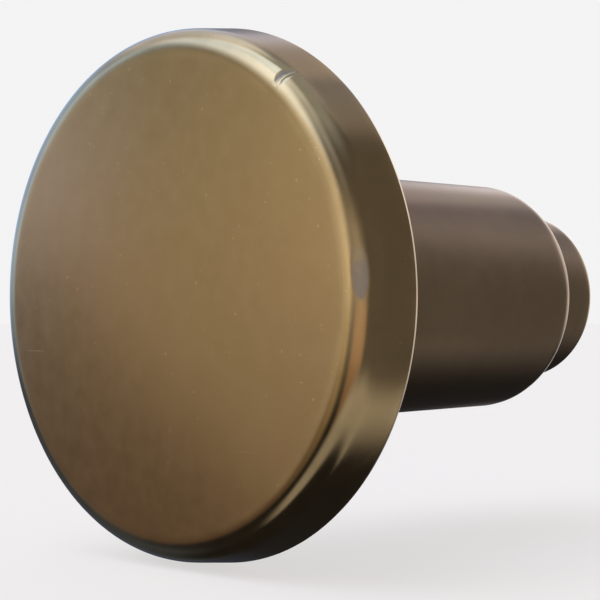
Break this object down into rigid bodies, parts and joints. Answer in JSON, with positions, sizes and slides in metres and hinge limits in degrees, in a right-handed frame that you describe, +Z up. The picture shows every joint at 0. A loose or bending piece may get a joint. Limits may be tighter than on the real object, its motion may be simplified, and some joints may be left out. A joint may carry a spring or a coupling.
{
  "type": "thru hull fitting",
  "caption": "Closed mushroom-head through-hull fitting: a round bronze head unscrews on a central spindle to open the barrel to the sea or air, above a stepped tail.",
  "frame": {"origin": "centre of the hull hole in the plane of the hull's outer face, where the gasket rests", "axes": "+Y along the barrel, inboard, towards the tail; the closed head faces -Y, outboard; +Z up"},
  "size_m": [0.0978, 0.1114, 0.0978],
  "materials": {
    "patina_bronze": "satin antique bronze, worn brighter along the edges",
    "dark_bronze": "dark satin antique bronze",
    "bright_bronze": "machined silicon bronze",
    "stainless_steel": "machined stainless steel",
    "black_rubber": "matt black nitrile rubber",
    "fibre": "vulcanised fibre"
  },
  "bodies": {
    "hull_body": {"hull_barrel": "dark_bronze", "hull_gasket": "black_rubber", "bridge": "bright_bronze", "spindle_bush": "bright_bronze", "spindle_o_ring": "black_rubber", "bridge_snap_ring": "stainless_steel", "gauze_screen": "stainless_steel", "screen_washer": "fibre", "hose_tail": "dark_bronze", "tail_o_ring": "black_rubber"},
    "washer": {"thrust_washer": "stainless_steel"},
    "head": {"head_cap": "patina_bronze", "seal_ring": "black_rubber", "seal_retainer": "bright_bronze", "spindle": "bright_bronze", "spindle_pin": "stainless_steel", "stop_nut": "bright_bronze", "retainer_screw_1": "stainless_steel", "retainer_screw_2": "stainless_steel", "retainer_screw_3": "stainless_steel", "retainer_screw_4": "stainless_steel", "split_pin": "stainless_steel"}
  },
  "joints": [
    {"name": "head_travel", "type": "slide", "parent": "hull_body", "child": "washer", "axis": [0, -1, 0], "range_m": [0, 0.012]},
    {"name": "head_turn", "type": "hinge", "parent": "washer", "child": "head", "pos_m": [0, 0, 0], "axis": [0, -1, 0], "range_deg": [0, 1440]}
  ],
  "couplings": [
    {"joint": "head_travel", "follows": "head_turn", "m_per_rad": 0.00047746}
  ]
}
